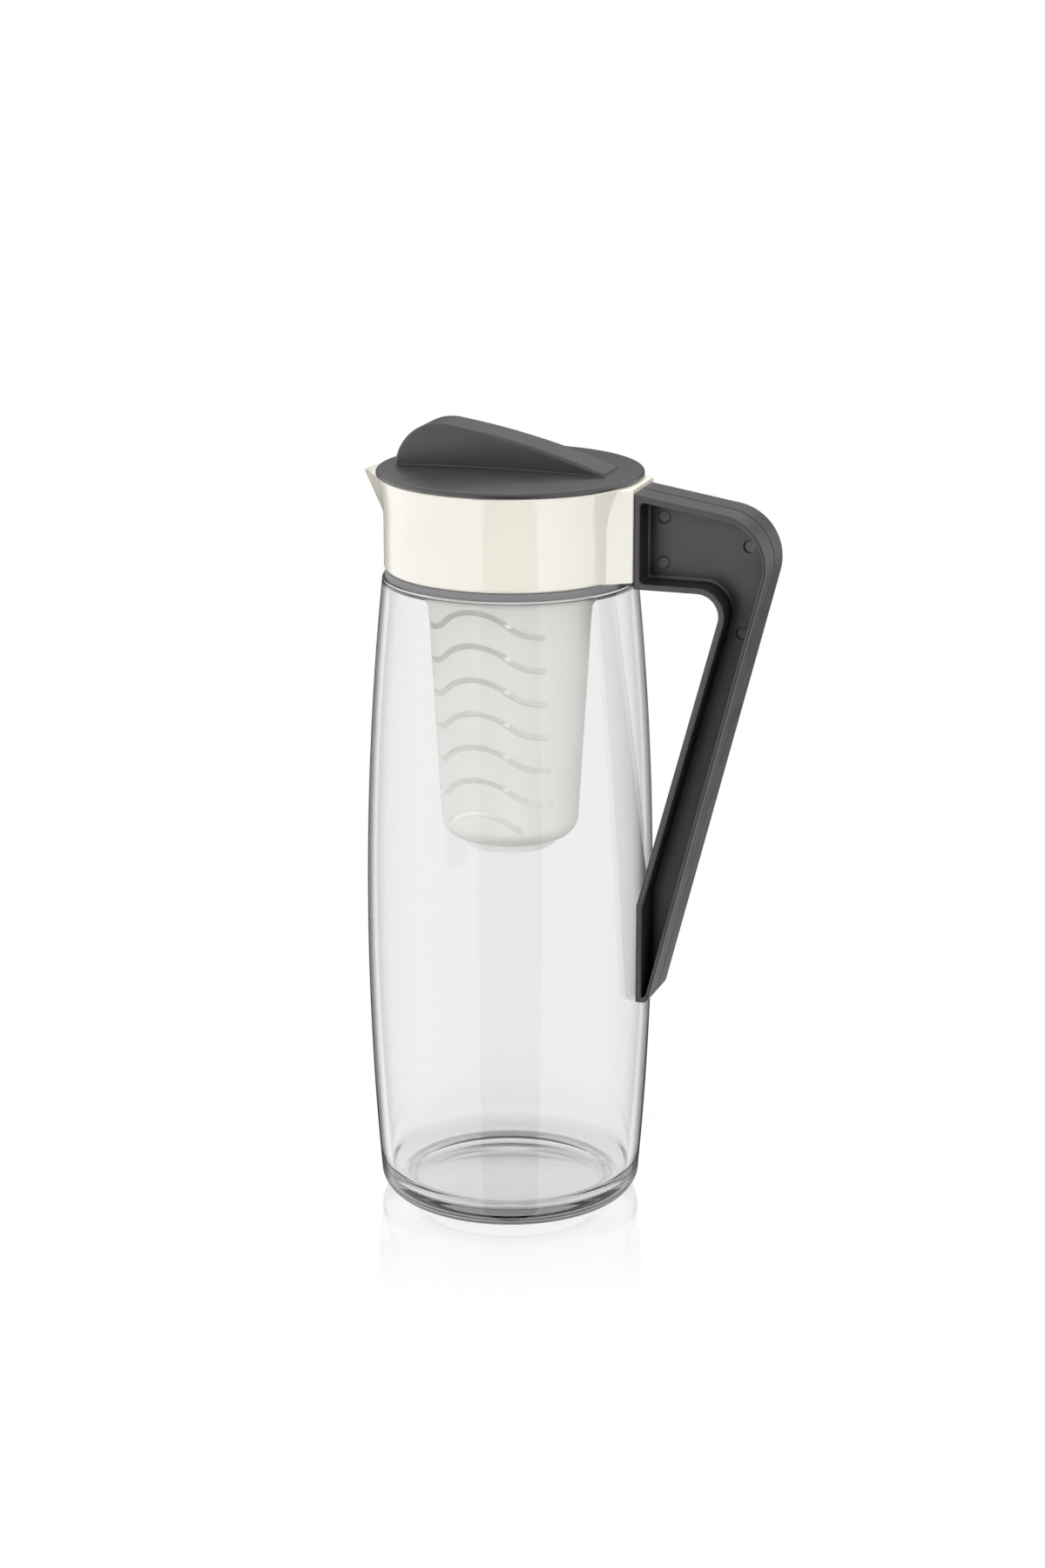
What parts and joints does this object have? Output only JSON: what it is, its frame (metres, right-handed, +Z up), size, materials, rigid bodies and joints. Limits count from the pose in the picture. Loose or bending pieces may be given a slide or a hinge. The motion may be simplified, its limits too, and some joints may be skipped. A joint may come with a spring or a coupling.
{
  "type": "fruit infuser pitcher",
  "caption": "Tall glass pitcher with a screw-on spouted collar, an open plastic handle and a fin-grip lid that carries a slotted fruit infuser basket.",
  "frame": {"origin": "where the jar's axis meets the table, in the plane of the foot", "axes": "+Z up along the jar's axis, +X towards the handle, -X towards the spout"},
  "size_m": [0.146, 0.1002, 0.2766],
  "materials": {
    "clear_glass": "clear pressed glass, smooth",
    "grey_silicone": "matt silicone",
    "cream_plastic": "glossy moulded plastic",
    "charcoal_plastic": "satin moulded plastic",
    "frosted_plastic": "frosted translucent moulded plastic"
  },
  "bodies": {
    "jar": {"glass_jar": "clear_glass", "shoulder_ring": "grey_silicone"},
    "gasket": {"neck_gasket": "grey_silicone"},
    "collar": {"collar": "cream_plastic", "handle": "charcoal_plastic"},
    "lid_ring": {"lid_seal": "grey_silicone"},
    "lid": {"lid_cap": "charcoal_plastic", "lid_insert": "charcoal_plastic"},
    "infuser": {"infuser_basket": "frosted_plastic"}
  },
  "joints": [
    {"name": "collar_rise", "type": "slide", "parent": "jar", "child": "gasket", "axis": [0, 0, 1], "range_m": [0, 0.0051]},
    {"name": "collar_turn", "type": "hinge", "parent": "gasket", "child": "collar", "pos_m": [0, 0, 0.2402], "axis": [0, 0, 1], "range_deg": [0, 360]},
    {"name": "lid_lift", "type": "slide", "parent": "collar", "child": "lid_ring", "axis": [0, 0, 1], "range_m": [0, 0.15]},
    {"name": "lid_turn", "type": "hinge", "parent": "lid_ring", "child": "lid", "pos_m": [0, 0, 0.2596], "axis": [0, 0, 1], "continuous": true},
    {"name": "infuser_twist", "type": "hinge", "parent": "lid", "child": "infuser", "pos_m": [0, 0, 0.2515], "axis": [0, 0, 1], "range_deg": [0, 20]}
  ],
  "couplings": [
    {"joint": "collar_rise", "follows": "collar_turn", "m_per_rad": 0.00079577}
  ]
}
